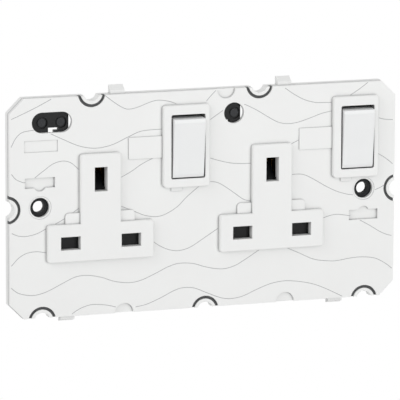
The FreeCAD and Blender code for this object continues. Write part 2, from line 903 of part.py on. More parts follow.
def neutral_outline(grow=0):
    grow = size_of(grow)
    half_pins = s.pin_spread / 2
    first = s.socket_across - half_pins
    last = first + s.outlet_pitch
    half = s.clip_half + grow
    top = s.pin_row_up + s.clip_reach_up + grow
    strip_low = s.neutral_strip_up - s.strip_width / 2 - grow
    strip_high = s.neutral_strip_up + s.strip_width / 2 + grow
    return [
        (first - half, top),
        (first - half, strip_low),
        (last + half, strip_low),
        (last + half, top),
        (last - half, top),
        (last - half, strip_high),
        (first + half, strip_high),
        (first + half, top),
    ]


def line_bar_outline(grow=0):
    """Strip above the outlets with a hook over each switch, where the fixed rivets sit."""
    grow = size_of(grow)
    first = s.switch_across
    last = first + s.outlet_pitch
    low = s.line_strip_up - s.strip_width / 2 - grow
    high = s.line_strip_up + s.strip_width / 2 + grow
    hook_low = s.hook_up - s.hook_half - grow
    hook_high = s.hook_up + s.hook_half + grow
    leg_half = s.leg_half + grow
    left_leg = first + s.left_leg_offset
    right_leg = last - s.right_leg_offset
    tip = s.riser_half + grow
    return [
        (left_leg - leg_half, low),
        (right_leg + leg_half, low),
        (right_leg + leg_half, hook_low),
        (last + tip, hook_low),
        (last + tip, hook_high),
        (right_leg - leg_half, hook_high),
        (right_leg - leg_half, high),
        (left_leg + leg_half, high),
        (left_leg + leg_half, hook_high),
        (first - tip, hook_high),
        (first - tip, hook_low),
        (left_leg - leg_half, hook_low),
    ]


def earth_clips():
    return [s.socket_across, s.socket_across + s.outlet_pitch]


def terminal_levels(strip_up):
    """A terminal reaches from its strip's far edge towards the wall that its wire comes through."""
    if strip_up.value < 0:
        high = strip_up + s.strip_width / 2
        return high - s.terminal_height, high
    high = strip_up + s.strip_width / 2
    return high - s.terminal_height, high


def make_contact_carrier():
    carrier = new_body("contact_carrier")
    bay = s.groove_outer + s.bay_wall + s.fit_gap
    pad(carrier, "flange", "XZ", zero, s.flange_front, bayed_outline(s.skirt_wall + s.fit_gap, bay))
    pad(carrier, "block", "XZ", carrier_rear, zero, body_outline())

    low = window_up - s.insert_half_height - s.fit_gap
    high = window_up + s.insert_half_height + s.fit_gap
    twin = box(twin_insert_left - s.fit_gap, low, twin_insert_right + s.view_gap, high)
    single = box(s.single_insert_left - s.fit_gap, low, s.single_insert_right + s.view_gap, high)
    pocket(carrier, "indicator_openings", "XZ", zero, s.flange_front, twin, single)

    for side, shift in units:
        across = s.socket_across + shift
        switch = s.switch_across + shift
        earth = s.pin_row_up + s.earth_rise
        pocket(carrier, side + "_shutter_track", "XZ", recess_back, s.flange_front, shutter_recess(across))
        mouth = centred(switch, s.switch_up, s.pocket_half * 2, s.opening_height)
        pocket(carrier, side + "_rocker_mouth", "XZ", zero, s.flange_front, mouth)
        shaft = centred(switch, s.switch_up, s.pocket_half * 2, s.shaft_reach * 2)
        clip_pocket = s.clip_mouth + s.strip_thickness + s.fit_gap
        wells = []
        for offset in (-s.pin_spread / 2, s.pin_spread / 2):
            wells.append(centred(across + offset, s.pin_row_up, clip_pocket * 2, clip_pocket * 2))
        earth_well = box(across - clip_pocket, earth - s.earth_clip_low - s.fit_gap,
                         across + clip_pocket, earth + s.earth_clip_high + s.fit_gap)
        pocket(carrier, side + "_wells", "XZ", carrier_rear, s.flange_front, shaft, earth_well, *wells)
        ramp_low = earth - s.pin_height / 2 - s.ramp_foot - s.shutter_travel - s.ramp_side
        ramp_well = box(across - s.ramp_half - s.ramp_side, ramp_low,
                        across + s.ramp_half + s.ramp_side, earth)
        pocket(carrier, side + "_ramp_well", "XZ", -(s.ramp_back + s.ramp_side), recess_back, ramp_well)
        lug_top = s.pin_row_up - s.lug_drop
        spring_well = box(across - s.lug_half - s.ramp_side, s.spring_end,
                          across + s.lug_half + s.ramp_side, lug_top + s.ramp_side)
        well_floor = -(s.lug_back + s.ramp_side * 1.5)
        pocket(carrier, side + "_spring_well", "XZ", well_floor, recess_back, spring_well)
        seat = s.pivot_radius + s.pivot_run
        pivot = s.switch_up
        reach = s.opening_width / 2 - s.rocker_gap + s.pivot_reach + s.ramp_side
        seat_outline = [
            (-s.flange_front - 1, pivot - seat),
            (-s.pivot_front, found((pivot - seat).value), arc(-s.pivot_front, pivot, seat, 1)),
            (-s.pivot_front, found((pivot + seat).value)),
            (-s.flange_front - 1, pivot + seat),
        ]
        pocket(carrier, side + "_pivot_seats", "YZ", switch - reach, switch + reach, seat_outline)

    grow = s.strip_gap
    channels = [line_contact_outline(side, shift, grow) for side, shift in units]
    channels += [neutral_outline(grow), line_bar_outline(grow)]
    for number, outline in enumerate(channels, start=1):
        pocket(carrier, "channel_%d" % number, "XZ", carrier_rear, strip_front, outline)
    strip_half = s.strip_width / 2 + grow
    tab_end = s.socket_across + s.clip_half + s.tab_reach
    earth_channel = [
        (s.socket_across - s.clip_half - grow, s.earth_strip_up - strip_half),
        (s.socket_across + s.clip_open - grow, s.earth_strip_up - strip_half),
        (s.socket_across + s.clip_open - grow, s.pin_row_up + s.earth_rise),
        (tab_end + grow, s.pin_row_up + s.earth_rise),
        (tab_end + grow, s.earth_strip_up - strip_half),
        (s.joggle_start + s.joggle_length, s.earth_strip_up - strip_half),
        (s.joggle_start + s.joggle_length, s.earth_strip_up + strip_half),
        (s.socket_across - s.clip_half - grow, s.earth_strip_up + strip_half),
    ]
    pocket(carrier, "earth_channel", "XZ", carrier_rear, strip_front, earth_channel)

    wide = [circle(x, z, s.post_radius + s.fit_gap) for x, z in housing_screws]
    pocket(carrier, "post_holes", "XZ", wall_back - s.post_length - s.fit_gap, s.flange_front, *wide)
    narrow = [circle(x, z, s.screw_radius + s.fit_gap) for x, z in housing_screws]
    pocket(carrier, "screw_holes", "XZ", carrier_rear, s.flange_front, *narrow)
    bores = [circle(across, zero, s.fixing_bore / 2) for across in fixings]
    pocket(carrier, "fixing_bores", "XZ", zero, s.flange_front, *bores)


def make_rear_cover():
    cover = new_body("rear_cover")
    wall = s.cover_wall
    shallow = carrier_rear - s.tower_cover
    pad(cover, "rim", "XZ", shallow, carrier_rear, body_outline())
    pad(cover, "shell", "XZ", cover_rear, shallow, block_outline(zero))
    bevel_edges(cover, "rear_edges", s.cover_edge, lambda edge: on_front(edge, cover_rear))
    pocket(cover, "chamber", "XZ", terminal_rear, carrier_rear, block_outline(wall))
    posts = [circle(x, z, s.screw_head + wall) for x, z in housing_screws]
    pad(cover, "screw_posts", "XZ", terminal_rear, carrier_rear, *posts)
    heads = [circle(x, z, s.screw_head + s.head_sink) for x, z in housing_screws]
    head_floor = cover_rear + s.screw_head_height + s.head_sink
    pocket(cover, "head_sinks", "XZ", cover_rear, head_floor, *heads)
    holes = [circle(x, z, s.screw_radius + s.fit_gap) for x, z in housing_screws]
    pocket(cover, "screw_holes", "XZ", cover_rear, carrier_rear, *holes)
    for label, across, strip_up in terminals:
        low, high = terminal_levels(strip_up)
        middle = (low + high) / 2
        access = circle(across, middle, s.clamp_access)
        pocket(cover, label + "_access", "XZ", cover_rear, terminal_rear, access)
        gate = box(across - s.wire_gate_half, s.carrier_back, across + s.wire_gate_half,
                   s.carrier_back + s.wire_gate_depth)
        if strip_up.value < 0:
            pocket(cover, label + "_gate", "XY", s.body_bottom, s.body_bottom + wall, gate)
        else:
            pocket(cover, label + "_gate", "XY", s.body_top - wall, s.body_top, gate)


def make_rocker(side, shift):
    switch = s.switch_across + shift
    up = s.switch_up
    rocker = new_body(side + "_rocker")
    half = s.opening_width / 2 - s.rocker_gap
    top = s.rocker_half_height
    profile = [
        (-s.rocker_face, up - top + s.rocker_bevel),
        (-s.rocker_face + s.rocker_bevel_drop, up - top),
        (-s.rocker_end_front, up - top),
        (zero, up - s.rocker_toe),
        (zero, up + s.rocker_toe),
        (-s.rocker_end_front, up + top),
        (-s.rocker_face + s.rocker_bevel_drop, up + top),
        (-s.rocker_face, up + top - s.rocker_bevel),
    ]
    pad(rocker, side + "_shell", "YZ", switch - half, switch + half, profile)
    inner = half - s.rocker_wall
    hollow = box(-s.rocker_face + s.rocker_skin, up - top + s.rocker_wall, zero + 1, up + top - s.rocker_wall)
    pocket(rocker, side + "_hollow", "YZ", switch - inner, switch + inner, hollow)
    ceiling = s.rocker_face - s.rocker_skin
    pad(rocker, side + "_guide", "XZ", -s.guide_back, ceiling, circle(switch, up, s.guide_radius))
    bore = s.plunger_radius + s.plunger_run
    pocket(rocker, side + "_guide_bore", "XZ", -s.guide_back, ceiling, circle(switch, up, bore))
    trunnion = circle(-s.pivot_front, up, s.pivot_radius)
    reach = half + s.pivot_reach
    pad(rocker, side + "_left_pivot", "YZ", switch - reach, switch - inner, trunnion)
    pad(rocker, side + "_right_pivot", "YZ", switch + inner, switch + reach, trunnion)
    tilt_with_rocker(rocker)


def rocker_pivot():
    return Vector(0, -s.pivot_front.value, s.switch_up.value)


def tilt_with_rocker(feature):
    """Turns a piece from the rocker's level pose to its rest pose, on, with the top out."""
    turn = Rotation(Vector(1, 0, 0), s.rocker_tilt.value)
    feature.Placement = Placement(Vector(0, 0, 0), turn, rocker_pivot())


def make_plunger(side, shift):
    """Blunt-nosed pin that slides in the rocker's guide and rides on the see-saw."""
    switch = s.switch_across + shift
    plunger = new_body(side + "_plunger")
    nose = s.blade_pivot_back - s.blade_thickness - s.tip_run
    pad(plunger, side + "_pin", "XZ", -nose, -s.plunger_start, circle(switch, s.switch_up, s.plunger_radius))
    tip = -nose
    bevel_edges(plunger, side + "_nose", s.plunger_nose, lambda edge: on_front(edge, tip))
    tilt_with_rocker(plunger)


def coil(radius, wire, turns, length):
    """Spring of square wire that stands on Z = 0, drawn through sections that climb round its axis."""
    half = wire.value / 2
    steps = int(turns.value * s.turn_steps.value)
    sections = []
    for step in range(steps + 1):
        angle = 2 * math.pi * step / s.turn_steps.value
        middle = half + (length.value - wire.value) * step / steps
        around = Vector(math.cos(angle), math.sin(angle), 0)
        inner, outer = around * (radius.value - half), around * (radius.value + half)
        low, high = Vector(0, 0, middle - half), Vector(0, 0, middle + half)
        corners = [inner + low, outer + low, outer + high, inner + high]
        sections.append(Part.makePolygon(corners + corners[:1]))
    return Part.makeLoft(sections, True, True)


def new_spring(label, shape, place):
    spring = doc.addObject("Part::Feature", label)
    spring.Label = label
    spring.Shape = shape
    spring.Placement = place
    pieces.append(spring)
    return spring


def make_plunger_spring(side, shift):
    ceiling = s.rocker_face - s.rocker_skin
    length = ceiling + s.plunger_start - s.spring_seat * 2
    shape = coil(s.plunger_spring_radius, s.plunger_spring_wire, s.plunger_spring_turns, length)
    seat = Vector((s.switch_across + shift).value, -(ceiling - s.spring_seat).value, s.switch_up.value)
    lie_down = Placement(seat, Rotation(Vector(1, 0, 0), -90))
    turn = Placement(Vector(0, 0, 0), Rotation(Vector(1, 0, 0), s.rocker_tilt.value), rocker_pivot())
    new_spring(side + "_plunger_spring", shape, turn.multiply(lie_down))


def make_moving_contact(side, shift):
    """See-saw blade with a rib that rocks in the line contact's cradle, and a contact button."""
    switch = s.switch_across + shift
    up = s.switch_up
    blade = new_body(side + "_moving_contact")
    back = s.blade_pivot_back
    front = back - s.blade_thickness
    half = s.blade_half_width
    profile = box(front, up - s.blade_below, back, up + s.blade_above)
    pad(blade, side + "_blade", "YZ", switch - half, switch + half, profile)
    rib = [
        (back - s.blade_thickness / 2, up - s.blade_rib),
        (back, found((up - s.blade_rib).value), arc(back, up, s.blade_rib, 1)),
        (back, found((up + s.blade_rib).value)),
        (back - s.blade_thickness / 2, up + s.blade_rib),
    ]
    rib_half = s.cradle_half_width
    pad(blade, side + "_rib", "YZ", switch - rib_half, switch + rib_half, rib)
    button = circle(switch, up + s.button_up, s.button_radius)
    pad(blade, side + "_button", "XZ", -(back + s.button_height), -back, button)
    corners = [(switch + half * way, up + end) for way in (-1, 1) for end in (s.blade_above, -s.blade_below)]
    bevel_edges(blade, side + "_blade_corners", s.blade_thickness,
                lambda edge: along_depth(edge, -back, -front, corners))
    turn = Rotation(Vector(1, 0, 0), -s.blade_tilt.value)
    blade.Placement = Placement(Vector(0, 0, 0), turn, Vector(0, back.value, up.value))


def jaw(across, up, way, plane):
    """Side of a spring clip, from its flared mouth past the pinch to its web, in the plane of its section."""
    back = s.strip_back + s.strip_thickness
    if plane == "XY":
        back = s.earth_clip_back
    wall = s.strip_thickness
    section = [
        (s.clip_front, s.clip_mouth),
        (s.clip_throat, s.clip_pinch),
        (s.clip_throat + s.clip_open, s.clip_open),
        (back, s.clip_open),
        (back, s.clip_half),
        (s.clip_throat + s.clip_open, s.clip_half),
        (s.clip_throat, s.clip_pinch + wall),
        (s.clip_front + wall / 2, s.clip_mouth + wall),
    ]
    if plane == "YZ":
        return [(depth, up + side * way) for depth, side in section]
    return [(across + side * way, depth) for depth, side in section]


def add_row_clip(body, name, across):
    """Clip of two jaws, above and below a line or neutral pin."""
    half = s.clip_width / 2
    pad(body, name + "_upper_jaw", "YZ", across - half, across + half, jaw(across, s.pin_row_up, 1, "YZ"))
    pad(body, name + "_lower_jaw", "YZ", across - half, across + half, jaw(across, s.pin_row_up, -1, "YZ"))


def make_line_contact(side, shift):
    contact = new_body(side + "_line_contact")
    outline = line_contact_outline(side, shift)
    pad(contact, side + "_strip", "XZ", strip_rear, strip_front, outline)
    add_row_clip(contact, side + "_line", s.socket_across + shift + s.pin_spread / 2)
    switch = s.switch_across + shift
    top = -(s.blade_pivot_back + s.cradle_drop)
    half = s.cradle_half_width
    cradle = box(switch - half, s.switch_up - s.cradle_half, switch + half, s.switch_up + s.cradle_half)
    pad(contact, side + "_cradle", "XZ", strip_front, top, cradle)
    groove = circle(s.blade_pivot_back, s.switch_up, s.blade_rib + s.rib_run)
    pocket(contact, side + "_cradle_groove", "YZ", switch - half, switch + half, groove)


def make_neutral_bar():
    bar = new_body("neutral_bar")
    pad(bar, "neutral_strip", "XZ", strip_rear, strip_front, neutral_outline())
    for side, shift in units:
        add_row_clip(bar, side + "_neutral", s.socket_across + shift - s.pin_spread / 2)


def make_line_bar():
    bar = new_body("line_bar")
    pad(bar, "line_strip", "XZ", strip_rear, strip_front, line_bar_outline())
    for side, shift in units:
        rivet = circle(s.switch_across + shift, s.switch_up + s.button_up, s.rivet_radius)
        pad(bar, side + "_rivet", "XZ", strip_front, strip_front + s.rivet_height, rivet)


def make_earth_bar():
    """Bent strip that steps back to pass behind the left switch, with a deep clip for each earth pin."""
    bar = new_body("earth_bar")
    near = s.strip_back
    far = near + s.joggle_depth
    wall = s.strip_thickness
    half = s.strip_width / 2
    first, last = earth_clips()
    start = s.joggle_start
    end = start + s.joggle_length
    strip = [
        (first - s.clip_half, near),
        (start, near),
        (end, far),
        (last + s.clip_half + s.tab_reach, far),
        (last + s.clip_half + s.tab_reach, far + wall),
        (end - wall / 2, far + wall),
        (start - wall / 2, near + wall),
        (first - s.clip_half, near + wall),
    ]
    pad(bar, "earth_strip", "XY", s.earth_strip_up - half, s.earth_strip_up + half, strip)
    earth = s.pin_row_up + s.earth_rise
    low = earth - s.earth_clip_low
    high = earth + s.earth_clip_high
    for side, clip, plane_back in (("left", first, near), ("right", last, far)):
        tab = box(clip + s.clip_open, earth + s.clip_open, clip + s.clip_half + s.tab_reach,
                  s.earth_strip_up)
        pad(bar, side + "_tab", "XZ", -(plane_back + wall), -plane_back, tab)
        for name, way in (("right", 1), ("left", -1)):
            pad(bar, side + "_earth_" + name + "_jaw", "XY", low, high, jaw(clip, zero, way, "XY"))
        web = box(clip - s.clip_half, s.earth_clip_back - wall, clip + s.clip_half, s.earth_clip_back)
        pad(bar, side + "_web", "XY", low, high, web)


def make_terminal(label, across, strip_up):
    block = new_body(label)
    low, high = terminal_levels(strip_up)
    half = s.terminal_width / 2
    outline = box(across - half, low, across + half, high)
    pad(block, label + "_block", "XZ", terminal_rear, strip_rear, outline)
    pocket(block, label + "_bore", "XY", low, high, circle(across, s.wire_back, s.wire_bore))
    tapped = circle(across, (low + high) / 2, s.tapped_radius)
    pocket(block, label + "_tapping", "XZ", terminal_rear, -s.wire_back, tapped)


def turned_screw(head_radius, head_height, shank_radius, length):
    """Slotted screw on the Y axis: the head from Y = 0 back, the shank forward from Y = 0."""
    profile = Part.makePolygon([
        Vector(0, head_height, 0),
        Vector(head_radius, head_height, 0),
        Vector(head_radius, 0, 0),
        Vector(shank_radius, 0, 0),
        Vector(shank_radius, -length, 0),
        Vector(0, -length, 0),
        Vector(0, head_height, 0),
    ])
    screw = Part.Face(profile).revolve(Vector(0, 0, 0), Vector(0, 1, 0), 360)
    width = s.screw_slot.value
    depth = min(s.screw_slot_depth.value, head_height * 0.6)
    corner = Vector(-head_radius - 1, head_height - depth, -width / 2)
    slot = Part.makeBox(2 * head_radius + 2, depth + 1, width, corner)
    return screw.cut(slot)


def make_screws():
    clamp = turned_screw(s.clamp_head.value, s.clamp_head_height.value,
                         (s.tapped_radius - s.clamp_run).value, s.clamp_length.value)
    clamps = []
    for _, across, strip_up in terminals:
        low, high = terminal_levels(strip_up)
        place = Vector(across.value, (s.terminal_back + s.seat_touch).value, ((low + high) / 2).value)
        clamps.append(clamp.translated(place))
    new_group("terminal_screws", clamps)

    screw = turned_screw(s.screw_head.value, s.screw_head_height.value,
                         s.screw_radius.value, s.screw_length.value)
    seat = s.cover_back - s.screw_head_height - s.head_sink + s.seat_touch
    screws = [screw.translated(Vector(x.value, seat.value, z.value)) for x, z in housing_screws]
    new_group("housing_screws", screws)


def make_shutter(side, shift):
    """Slider that covers the line and neutral slots until an earth pin drives its ramp down."""
    across = s.socket_across + shift
    row = s.pin_row_up
    wing = s.slot_height / 2 + s.shutter_margin
    pin_low = row + s.earth_rise - s.pin_height / 2
    shutter = new_body(side + "_shutter")
    outline = tee(across, s.shutter_half, wing, wing, s.shutter_stem_half, pin_low)
    pad(shutter, side + "_slider", "XZ", shutter_back, s.shutter_front, outline)
    corners = [outline[index] for index in (0, 1, 2, 7)]
    back, front = shutter_back, s.shutter_front
    round_edges(shutter, side + "_wing_corners", s.shutter_corner,
                lambda edge: along_depth(edge, back, front, corners))
    ramp_rise = s.ramp_back + s.shutter_front
    ramp = [
        (-s.shutter_front, pin_low - s.ramp_foot),
        (s.ramp_back - s.ramp_foot, pin_low - s.ramp_foot),
        (s.ramp_back, pin_low),
        (s.ramp_back, pin_low + ramp_rise - s.shutter_run * 2),
        (-s.shutter_front, pin_low - s.shutter_run * 2),
    ]
    pad(shutter, side + "_ramp", "YZ", across - s.ramp_half, across + s.ramp_half, ramp)
    lug_top = row - s.lug_drop
    lug = box(across - s.lug_half, lug_top - s.lug_depth, across + s.lug_half, lug_top)
    pad(shutter, side + "_spring_lug", "XZ", -s.lug_back, shutter_back, lug)


def make_shutter_spring(side, shift):
    top = s.pin_row_up - s.lug_drop - s.lug_depth - s.spring_seat
    bottom = s.spring_end + s.spring_seat
    shape = coil(s.spring_radius, s.spring_wire, s.spring_turns, top - bottom)
    place = Placement(Vector((s.socket_across + shift).value, s.spring_back.value, bottom.value), Rotation())
    new_spring(side + "_shutter_spring", shape, place)


make_front_plate()
make_cover_clip_rings()
make_indicators()
make_contact_carrier()
make_rear_cover()
for unit_side, unit_shift in units:
    make_rocker(unit_side, unit_shift)
    make_plunger(unit_side, unit_shift)
    make_plunger_spring(unit_side, unit_shift)
    make_moving_contact(unit_side, unit_shift)
    make_line_contact(unit_side, unit_shift)
    make_shutter(unit_side, unit_shift)
    make_shutter_spring(unit_side, unit_shift)
make_line_bar()
make_neutral_bar()
make_earth_bar()
for terminal in terminals:
    make_terminal(*terminal)
make_screws()
doc.recompute()

faults = []
for item in doc.Objects:
    if "Invalid" in item.State or "Error" in item.State:
        faults.append("%s: %s" % (item.Name, item.State))
    if item.TypeId == "PartDesign::Pocket" and item.Shape.Volume > item.BaseFeature.Shape.Volume - 1e-6:
        faults.append("%s cuts nothing" % item.Name)
for piece in pieces:
    if piece.Shape.isNull() or not piece.Shape.isValid():
        faults.append("%s: null or not valid" % piece.Label)
if faults:
    raise RuntimeError("; ".join(faults))

os.makedirs("parts", exist_ok=True)
for piece in pieces:
    piece.Shape.exportStep("parts/%s.step" % piece.Label)
    count = len(piece.Shape.Solids)
    print("%-26s %2d solid(s) %10.2f mm3" % (piece.Label, count, piece.Shape.Volume))
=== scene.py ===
import math

import bpy
from mathutils import Matrix, Vector


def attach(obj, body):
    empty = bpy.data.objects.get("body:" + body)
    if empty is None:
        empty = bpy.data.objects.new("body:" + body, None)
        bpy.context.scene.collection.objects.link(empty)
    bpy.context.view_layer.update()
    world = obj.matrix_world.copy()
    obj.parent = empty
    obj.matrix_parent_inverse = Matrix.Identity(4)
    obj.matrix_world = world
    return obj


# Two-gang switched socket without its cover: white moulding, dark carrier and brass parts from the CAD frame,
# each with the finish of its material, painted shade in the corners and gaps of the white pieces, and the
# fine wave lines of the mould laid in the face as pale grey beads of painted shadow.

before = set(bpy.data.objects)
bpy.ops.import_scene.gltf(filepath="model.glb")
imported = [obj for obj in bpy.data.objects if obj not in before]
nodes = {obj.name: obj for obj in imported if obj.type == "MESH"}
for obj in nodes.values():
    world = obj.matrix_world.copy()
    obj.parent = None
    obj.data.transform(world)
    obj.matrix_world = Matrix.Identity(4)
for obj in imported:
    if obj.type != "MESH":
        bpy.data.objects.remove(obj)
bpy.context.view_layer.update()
mm = 0.001
print("frame loaded:", len(nodes), "nodes")


def hexColour(text):
    # sRGB hex to the linear values that the shaders take
    channels = [int(text[place:place + 2], 16) / 255 for place in (1, 3, 5)]
    linear = [c / 12.92 if c <= 0.04045 else ((c + 0.055) / 1.055) ** 2.4 for c in channels]
    return (*linear, 1.0)


def addNode(tree, kind, settings=None, **inputs):
    # an input goes by its name, with _ for a space, or as n_6 by its number, where names repeat;
    # a socket given to it makes a link, and anything else is its value
    node = tree.nodes.new(kind)
    for name, value in (settings or {}).items():
        setattr(node, name, value)
    for name, value in inputs.items():
        socket = node.inputs[int(name[2:])] if name.startswith("n_") else node.inputs[name.replace("_", " ")]
        if isinstance(value, bpy.types.NodeSocket):
            tree.links.new(value, socket)
        else:
            socket.default_value = value
    return node


def newMaterial(name):
    material = bpy.data.materials.new(name)
    material.use_nodes = True
    material.node_tree.nodes.clear()
    return material, material.node_tree


def finishMaterial(tree, shader):
    addNode(tree, "ShaderNodeOutputMaterial", Surface=shader.outputs[0])


def mixColours(tree, share, first, second):
    # share is a socket; first and second are colours or sockets
    mix = addNode(tree, "ShaderNodeMix", {"data_type": "RGBA"}, n_0=share, n_6=first, n_7=second)
    return mix.outputs[2]


# Painted shade on the white pieces: each entry darkens the colour towards its shade colour in inner corners,
# slots and gaps, where little light comes in. reach is how far off a wall still counts, in mm. A shade is
# full where the share of open space round a point is under "closed", and gone where it is over "open".

edgeShade = {"reach": 0.7, "closed": 0.42, "open": 0.8, "amount": 0.5, "colour": "#6f7173"}
wallShade = {"reach": 2.4, "closed": 0.4, "open": 0.82, "amount": 0.28, "colour": "#77797b"}
wellShade = {"reach": 6.0, "closed": 0.05, "open": 0.24, "amount": 0.9, "colour": "#303133"}
gapShade = {"reach": 6.0, "closed": 0.0, "open": 0.12, "amount": 0.85, "colour": "#3c3d3f"}
shadeSamples = 12


# painted shade: an ambient-occlusion mask mixes the shade colour into the colour where little open space is
# round a point
def paintedCornerShade(tree, colour, shade):
    space = addNode(tree, "ShaderNodeAmbientOcclusion", {"samples": shadeSamples},
                    Distance=shade["reach"] * mm)
    depth = addNode(tree, "ShaderNodeMapRange", Value=space.outputs["AO"],
                    From_Min=shade["closed"], From_Max=shade["open"], To_Min=shade["amount"], To_Max=0.0)
    return mixColours(tree, depth.outputs["Result"], colour, hexColour(shade["colour"]))


# Plastics: each surface carries the fine spark-eroded grain of its mould, drawn a little coarse so that it
# shows. Sizes and depths are in mm.

mouldSkin = {
    "flowDetail": 3.0, "grainDetail": 4.0, "grainRoughness": 0.6,
    "grainLow": 0.3, "grainHigh": 0.7,  # where nearly all of the grain's values lie
    "edgeSamples": 6,
}


def mouldedPlastic(name, look):
    material, tree = newMaterial(name)
    place = addNode(tree, "ShaderNodeTexCoord").outputs["Object"]
    flow = addNode(tree, "ShaderNodeTexNoise", Vector=place, Scale=1 / (look["flowSize"] * mm),
                   Detail=mouldSkin["flowDetail"])
    colour = mixColours(tree, flow.outputs["Fac"], hexColour(look["colour"]), hexColour(look["tint"]))
    # painted shade in corners, slots and gaps, one layer for each shade in the look
    for shade in look["paintedShades"]:
        colour = paintedCornerShade(tree, colour, shade)
    grain = addNode(tree, "ShaderNodeTexNoise", Vector=place, Scale=1 / (look["grainSize"] * mm),
                    Detail=mouldSkin["grainDetail"], Roughness=mouldSkin["grainRoughness"])
    sheen = addNode(tree, "ShaderNodeMapRange", Value=grain.outputs["Fac"],
                    From_Min=mouldSkin["grainLow"], From_Max=mouldSkin["grainHigh"],
                    To_Min=look["roughness"] - look["roughnessSpread"],
                    To_Max=look["roughness"] + look["roughnessSpread"])
    edge = addNode(tree, "ShaderNodeBevel", {"samples": mouldSkin["edgeSamples"]},
                   Radius=look["edgeRadius"] * mm)
    relief = addNode(tree, "ShaderNodeBump", Strength=look["grainStrength"], Distance=look["grainDepth"] * mm,
                     Height=grain.outputs["Fac"], Normal=edge.outputs["Normal"])
    shader = addNode(tree, "ShaderNodeBsdfPrincipled", Base_Color=colour, Roughness=sheen.outputs["Result"],
                     Normal=relief.outputs["Normal"], IOR=look["ior"], Specular_IOR_Level=look["gloss"])
    finishMaterial(tree, shader)
    return material


# Urea moulding: hard, bright white, with a close satin skin from the mould
ureaWhite = mouldedPlastic("ureaWhiteMoulding", {
    "colour": "#f2f3f2", "tint": "#efefee", "flowSize": 14.0,
    "grainSize": 0.45, "grainDepth": 0.015, "grainStrength": 0.35, "edgeRadius": 0.12,
    "roughness": 0.42, "roughnessSpread": 0.05, "ior": 1.55, "gloss": 0.5,
    # painted shade in inner corners, along walls and down slots and wells
    "paintedShades": [edgeShade, wallShade, wellShade],
})
# Rocker: polycarbonate, the same white with hardly any grain, so that it looks smoother than the moulding
rockerWhite = mouldedPlastic("polycarbonateRocker", {
    "colour": "#f3f4f4", "tint": "#f0f1f1", "flowSize": 9.0,
    "grainSize": 0.6, "grainDepth": 0.006, "grainStrength": 0.04, "edgeRadius": 0.12,
    "roughness": 0.4, "roughnessSpread": 0.02, "ior": 1.58, "gloss": 0.35,
    # painted shade in the gaps round the rocker
    "paintedShades": [gapShade],
})
# Carrier and cover: glass-filled nylon, charcoal, dry and matt with a coarse grain
carrierNylon = mouldedPlastic("glassFilledNylon", {
    "colour": "#28292a", "tint": "#202122", "flowSize": 3.0,
    "grainSize": 0.25, "grainDepth": 0.02, "grainStrength": 0.5, "edgeRadius": 0.15,
    "roughness": 0.58, "roughnessSpread": 0.1, "ior": 1.53, "gloss": 0.15,
    "paintedShades": [],
})
# Half rings in the notches: the same nylon, painted a lighter grey for the light that reaches them
ringNylonPaintedLight = mouldedPlastic("ringNylonPaintedLight", {
    "colour": "#5b5c5d", "tint": "#4a4b4c", "flowSize": 2.0,
    "grainSize": 0.3, "grainDepth": 0.015, "grainStrength": 0.4, "edgeRadius": 0.2,
    "roughness": 0.5, "roughnessSpread": 0.08, "ior": 1.53, "gloss": 0.3,
    "paintedShades": [],
})
# Shutters: acetal sliders, smooth and slightly waxy
shutterAcetal = mouldedPlastic("shutterAcetal", {
    "colour": "#1d1e1f", "tint": "#18191a", "flowSize": 5.0,
    "grainSize": 0.35, "grainDepth": 0.008, "grainStrength": 0.25, "edgeRadius": 0.15,
    "roughness": 0.36, "roughnessSpread": 0.05, "ior": 1.48, "gloss": 0.15,
    "paintedShades": [],
})
# Indicator inserts: black ABS with a satin skin
insertAbs = mouldedPlastic("insertBlackAbs", {
    "colour": "#151617", "tint": "#121314", "flowSize": 4.0,
    "grainSize": 0.3, "grainDepth": 0.01, "grainStrength": 0.3, "edgeRadius": 0.15,
    "roughness": 0.45, "roughnessSpread": 0.06, "ior": 1.54, "gloss": 0.2,
    "paintedShades": [],
})
# Plunger pins: natural acetal, off-white and greasy smooth
pinAcetal = mouldedPlastic("plungerAcetal", {
    "colour": "#d9d7cf", "tint": "#cfccc2", "flowSize": 3.0,
    "grainSize": 0.4, "grainDepth": 0.005, "grainStrength": 0.2, "edgeRadius": 0.1,
    "roughness": 0.3, "roughnessSpread": 0.04, "ior": 1.48, "gloss": 0.5,
    "paintedShades": [],
})
# Lamp lenses: smoked polycarbonate, unlit, so they read as dark grey glassy discs
lensSmoked = mouldedPlastic("smokedLens", {
    "colour": "#25272a", "tint": "#202225", "flowSize": 1.5,
    "grainSize": 0.5, "grainDepth": 0.003, "grainStrength": 0.1, "edgeRadius": 0.2,
    "roughness": 0.25, "roughnessSpread": 0.03, "ior": 1.58, "gloss": 0.2,
    "paintedShades": [],
})
# Wave lines: the shadow of a shallow mould line, so a plain pale grey
waveLineShadowGrey = mouldedPlastic("engravedLinePaintedShadow", {
    "colour": "#b4b5b6", "tint": "#a9aaab", "flowSize": 6.0,
    "grainSize": 0.3, "grainDepth": 0.004, "grainStrength": 0.1, "edgeRadius": 0.05,
    "roughness": 0.6, "roughnessSpread": 0.05, "ior": 1.5, "gloss": 0.5,
    "paintedShades": [],
})


# Metals: stretched noise gives the rolling or drawing marks, a slow noise the tarnish. A mark runs along the
# axis whose stretch is small.

metalSkin = {
    "markDetail": 5.0, "markRoughness": 0.65, "tarnishDetail": 4.0,
    "markLow": 0.3, "markHigh": 0.7,  # where nearly all of the marks' values lie
    "smoother": 0.07, "rougher": 0.09,  # how far the marks take the roughness down and up
    "reliefStrength": 0.3, "edgeSamples": 4,
}


